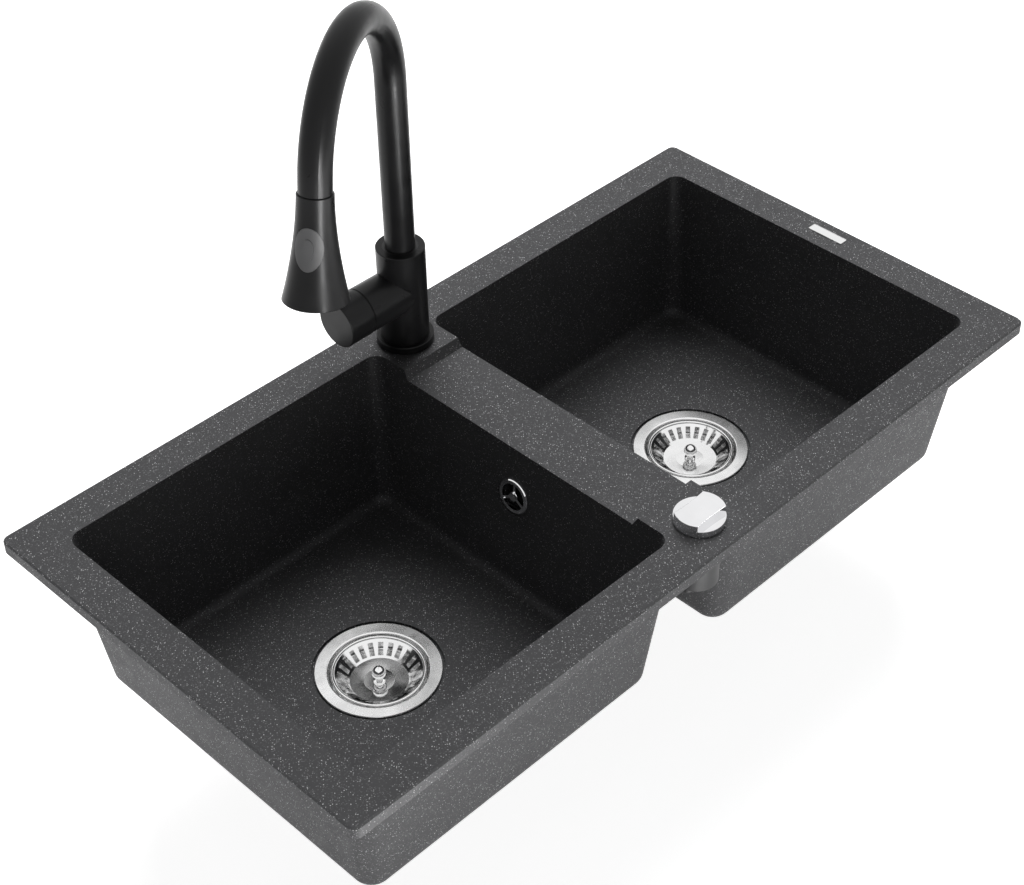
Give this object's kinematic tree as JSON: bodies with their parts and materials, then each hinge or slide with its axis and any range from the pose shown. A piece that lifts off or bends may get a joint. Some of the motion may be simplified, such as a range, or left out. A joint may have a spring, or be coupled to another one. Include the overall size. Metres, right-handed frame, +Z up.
{
  "type": "double bowl kitchen sink",
  "caption": "Inset stone-composite kitchen sink with twin bowls, basket strainer wastes, overflow, pop-up control knob and a matt black pull-down mixer tap.",
  "frame": {"origin": "centre of the rim underside, on the worktop surface", "axes": "+X along the long side, +Y from the control knob towards the tap, +Z up out of the bowls"},
  "size_m": [0.84, 0.44, 0.6378],
  "materials": {
    "stone_composite": "fine matt moulding with metallic specks",
    "seal_rubber": "matt",
    "brushed_flange": "circular brushing",
    "polished_basket": "polished stainless",
    "waste_plastic": "satin moulding",
    "zinc_plated_steel": "plated",
    "chrome": "polished plating",
    "matt_black": "matt black coating",
    "brass": "turned",
    "engineering_plastic": "satin moulding",
    "braided_hose": "braided sleeve",
    "spray_grey": "soft grey moulding"
  },
  "bodies": {
    "basin_and_tap": {"cartridge_base": "engineering_plastic", "cartridge_gasket": "seal_rubber", "cartridge_housing": "engineering_plastic", "cartridge_nut": "brass", "control_base": "chrome", "control_box": "waste_plastic", "control_nut": "waste_plastic", "control_washer": "seal_rubber", "left_drain_body": "waste_plastic", "left_drain_flange": "brushed_flange", "left_drain_gasket": "seal_rubber", "left_drain_screw": "zinc_plated_steel", "left_flange_seal": "seal_rubber", "overflow_body": "waste_plastic", "overflow_cover": "chrome", "overflow_pipe": "waste_plastic", "overflow_screw": "zinc_plated_steel", "overflow_seal": "seal_rubber", "right_drain_body": "waste_plastic", "right_drain_flange": "brushed_flange", "right_drain_gasket": "seal_rubber", "right_drain_screw": "zinc_plated_steel", "right_flange_seal": "seal_rubber", "sink_left_bowl": "stone_composite", "sink_right_bowl": "stone_composite", "sink_rim": "stone_composite", "spout_bush": "engineering_plastic", "tap_base_ring": "matt_black", "tap_body": "matt_black", "tap_deck_seal": "seal_rubber", "tap_fixing_nut": "zinc_plated_steel", "tap_fixing_seal": "seal_rubber", "tap_fixing_washer": "zinc_plated_steel", "tap_shank": "brass"},
    "spout": {"spout_tube": "matt_black", "spout_snap_ring": "zinc_plated_steel", "spout_sleeve": "engineering_plastic", "spray_hose": "braided_hose", "hose_connector": "brass"},
    "spray_head": {"spray_shell": "matt_black", "spray_core": "engineering_plastic", "spray_face": "spray_grey", "spray_nozzles": "seal_rubber", "spray_pad": "spray_grey", "hose_ferrule": "brass"},
    "spray_button": {"spray_button": "spray_grey"},
    "cartridge_carrier": {"cartridge_carrier": "engineering_plastic", "cartridge_pin": "zinc_plated_steel"},
    "handle": {"cartridge_stem": "engineering_plastic", "handle_knob": "matt_black", "lever_pin": "matt_black", "handle_grub_screw": "zinc_plated_steel"},
    "control": {"control_knob": "chrome", "control_spindle": "brass"},
    "left_basket": {"left_basket": "polished_basket", "left_basket_plug": "seal_rubber", "left_basket_knob": "polished_basket"},
    "right_basket": {"right_basket": "polished_basket", "right_basket_plug": "seal_rubber", "right_basket_knob": "polished_basket"}
  },
  "joints": [
    {"name": "spout_swivel", "type": "hinge", "parent": "basin_and_tap", "child": "spout", "pos_m": [0, 0.1781, 0.112], "axis": [0, 0, 1], "range_deg": [-120, 180]},
    {"name": "spray_pull", "type": "slide", "parent": "spout", "child": "spray_head", "axis": [-0.1801, -0.104, -0.9781], "range_m": [0, 0.165], "stiffness_N_per_m": 60, "springref_m": -0.06, "deforming": ["spray_hose"]},
    {"name": "spray_button_press", "type": "slide", "parent": "spray_head", "child": "spray_button", "axis": [0.8471, 0.4891, -0.2079], "range_m": [0, 0.0015], "stiffness_N_per_m": 2000, "springref_m": -0.0005},
    {"name": "handle_turn", "type": "hinge", "parent": "basin_and_tap", "child": "cartridge_carrier", "pos_m": [-0.028, 0.1781, 0.0704], "axis": [-1, 0, 0], "range_deg": [-45, 45]},
    {"name": "handle_tilt", "type": "hinge", "parent": "cartridge_carrier", "child": "handle", "pos_m": [-0.028, 0.1781, 0.0704], "axis": [0, -1, 0], "range_deg": [0, 20]},
    {"name": "control_turn", "type": "hinge", "parent": "basin_and_tap", "child": "control", "pos_m": [0, -0.182, 0.012], "axis": [0, 0, 1], "range_deg": [0, 90]},
    {"name": "left_basket_lift", "type": "slide", "parent": "basin_and_tap", "child": "left_basket", "axis": [0, 0, 1], "range_m": [0, 0.006]},
    {"name": "right_basket_lift", "type": "slide", "parent": "basin_and_tap", "child": "right_basket", "axis": [0, 0, 1], "range_m": [0, 0.06]}
  ],
  "couplings": [
    {"joint": "left_basket_lift", "follows": "control_turn", "m_per_rad": 0.003819}
  ]
}
